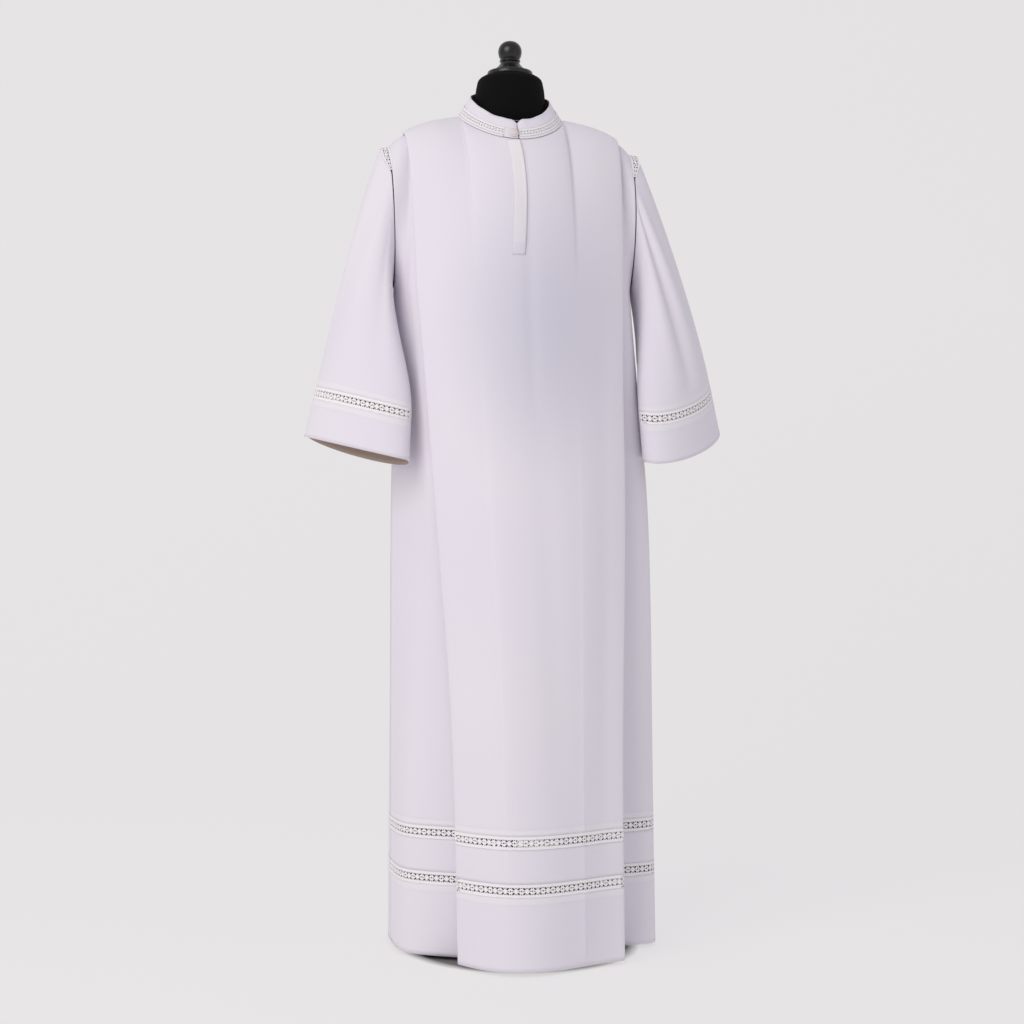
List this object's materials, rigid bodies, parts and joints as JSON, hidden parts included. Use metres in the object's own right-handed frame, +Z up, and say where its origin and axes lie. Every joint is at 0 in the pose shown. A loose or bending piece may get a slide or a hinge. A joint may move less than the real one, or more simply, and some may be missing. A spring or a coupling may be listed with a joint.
{
  "type": "alb robe on dress form",
  "caption": "Long white vestment with wide sleeves, shoulder pleats, stand collar and lace bands, worn by a limbless padded form on a pole stand",
  "frame": {"origin": "centre of the base plate's underside, on the floor under the pole", "axes": "+Z up the pole, -Y towards the front of the robe, +X to the right of a person who looks at the front"},
  "size_m": [0.7064, 0.4604, 1.5014],
  "materials": {
    "alb_cloth": "plain white weave with a very pale lavender cast, matt with a soft sheen",
    "alb_lace": "white openwork insertion lace, matt",
    "loop_thread": "twisted white thread",
    "form_jersey": "black knitted cover, matt",
    "black_turned_wood": "turned wood, painted black, satin",
    "steel_tube": "drawn steel tube",
    "base_enamel": "black enamel, satin"
  },
  "bodies": {
    "root": {"front": "alb_cloth", "back": "alb_cloth", "hem_band_front": "alb_cloth", "hem_band_back": "alb_cloth", "lower_lace_front": "alb_lace", "lower_lace_back": "alb_lace", "plain_band_front": "alb_cloth", "plain_band_back": "alb_cloth", "upper_lace_front": "alb_lace", "upper_lace_back": "alb_lace", "collar": "alb_cloth", "collar_lace": "alb_lace", "collar_edging": "alb_cloth", "placket": "alb_cloth", "button": "alb_cloth", "button_loop": "loop_thread", "sleeve_left": "alb_cloth", "sleeve_right": "alb_cloth", "cuff_left": "alb_cloth", "cuff_right": "alb_cloth", "sleeve_lace_left_front": "alb_lace", "sleeve_lace_left_back": "alb_lace", "sleeve_lace_right_front": "alb_lace", "sleeve_lace_right_back": "alb_lace", "armhole_lace_left": "alb_lace", "armhole_lace_right": "alb_lace", "form_torso": "form_jersey", "form_cap": "black_turned_wood", "form_knob": "black_turned_wood", "pole": "steel_tube", "base": "base_enamel"}
  },
  "joints": []
}
